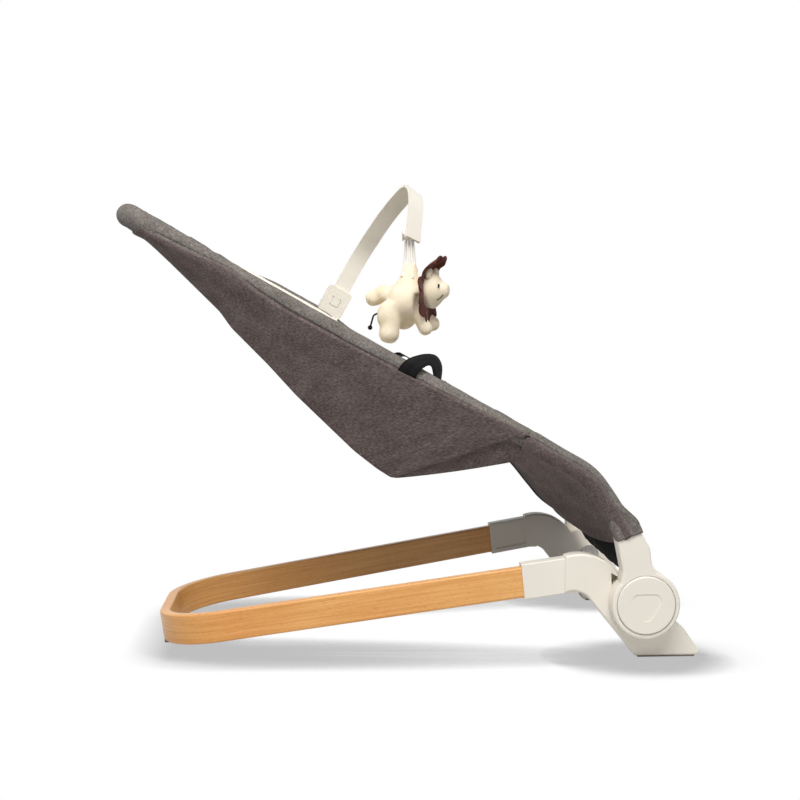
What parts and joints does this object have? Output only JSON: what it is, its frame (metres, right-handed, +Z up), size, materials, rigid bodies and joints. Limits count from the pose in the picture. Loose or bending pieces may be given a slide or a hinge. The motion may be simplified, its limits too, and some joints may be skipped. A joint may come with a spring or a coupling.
{
  "type": "baby bouncer seat",
  "caption": "Reclining baby bouncer with a bent-wood hoop base, hinged tube-frame sling seat, harness and a clip-on bow carrying a swinging plush toy.",
  "frame": {"origin": "on the floor, under the middle of the bounding box", "axes": "+X from the head end to the foot end, +Y to the sitter's left, +Z up"},
  "size_m": [0.774, 0.451, 0.644],
  "materials": {
    "beech": "clear satin lacquer",
    "cream_plastic": "fine texture",
    "grip_rubber": "matte",
    "steel": "zinc plated",
    "gear_plastic": "moulded",
    "tube_aluminium": "drawn",
    "rim_cloth": "light grey woven",
    "wing_cloth": "dark grey melange",
    "black_cloth": "black webbing and lining",
    "inlay_cloth": "soft cream jersey",
    "buckle_plastic": "moulded",
    "plush": "short cream plush",
    "felt": "brown felt",
    "tail_cord": "black cord"
  },
  "bodies": {
    "base": {"wood_hoop": "beech", "rear_pads": "grip_rubber", "foot_pads": "grip_rubber", "sleeve_screws": "steel", "leg_right": "cream_plastic", "leg_left": "cream_plastic", "hub_axle_right": "steel", "hub_axle_left": "steel", "hub_nut_right": "steel", "hub_nut_left": "steel", "leaf_spring_right": "steel", "leaf_spring_left": "steel"},
    "recline_drums": {"hub_drum_right": "gear_plastic", "hub_drum_left": "gear_plastic"},
    "seat": {"hub_arm_right": "cream_plastic", "hub_arm_left": "cream_plastic", "rim_sleeve_right": "rim_cloth", "rim_sleeve_left": "rim_cloth", "wing_right": "wing_cloth", "wing_left": "wing_cloth", "seat_side_right": "wing_cloth", "seat_side_left": "wing_cloth", "front_gusset_right": "wing_cloth", "front_gusset_left": "wing_cloth", "harness_strap_right": "black_cloth", "harness_strap_left": "black_cloth", "neck_rivets": "steel", "seat_tube": "tube_aluminium", "rim_sleeve_head": "rim_cloth", "head_roll": "rim_cloth", "back_panel": "wing_cloth", "seat_panel": "wing_cloth", "calf_panel": "wing_cloth", "front_lining": "black_cloth", "back_pad": "inlay_cloth", "seat_pad": "inlay_cloth", "buckle": "buckle_plastic", "crotch_strap": "black_cloth", "toy_bar_clip": "cream_plastic"},
    "button_right": {"hub_button_right": "cream_plastic", "lock_gear_right": "gear_plastic"},
    "button_left": {"hub_button_left": "cream_plastic", "lock_gear_left": "gear_plastic"},
    "buckle_release": {"buckle_button": "cream_plastic"},
    "clip_release": {"clip_button": "cream_plastic"},
    "bar": {"toy_bar": "cream_plastic"},
    "toy": {"toy_strap": "plush", "toy_body": "plush", "toy_head": "plush", "toy_muzzle": "plush", "toy_mane": "felt", "toy_ears": "plush", "toy_tail": "tail_cord", "toy_leg_front_right": "plush", "toy_leg_front_left": "plush", "toy_leg_rear_right": "plush", "toy_leg_rear_left": "plush"}
  },
  "joints": [
    {"name": "seat_recline", "type": "hinge", "parent": "base", "child": "recline_drums", "pos_m": [0.3085, 0, 0.075], "axis": [0, 1, 0], "range_deg": [-12, 12]},
    {"name": "seat_bounce", "type": "hinge", "parent": "recline_drums", "child": "seat", "pos_m": [0.3085, 0, 0.075], "axis": [0, 1, 0], "range_deg": [-2.5, 2.5], "stiffness_Nm_per_rad": 150, "springref_deg": 1.91},
    {"name": "button_right_press", "type": "slide", "parent": "base", "child": "button_right", "axis": [0, 1, 0], "range_m": [0, 0.004], "stiffness_N_per_m": 1500, "deforming": ["leaf_spring_right"]},
    {"name": "button_left_press", "type": "slide", "parent": "base", "child": "button_left", "axis": [0, -1, 0], "range_m": [0, 0.004], "stiffness_N_per_m": 1500, "deforming": ["leaf_spring_left"]},
    {"name": "buckle_press", "type": "slide", "parent": "seat", "child": "buckle_release", "axis": [-0.342, 0, -0.9397], "range_m": [0, 0.0025], "stiffness_N_per_m": 1200},
    {"name": "clip_press", "type": "slide", "parent": "seat", "child": "clip_release", "axis": [-0.0747, 0.9963, 0.0419], "range_m": [0, 0.002], "stiffness_N_per_m": 1200},
    {"name": "bar_lift", "type": "slide", "parent": "seat", "child": "bar", "axis": [0.4894, 0, 0.8721], "range_m": [0, 0.045]},
    {"name": "toy_swing", "type": "hinge", "parent": "bar", "child": "toy", "pos_m": [0.01128, 0.00391, 0.56235], "axis": [1, 0, 0], "range_deg": [-35, 35]}
  ]
}
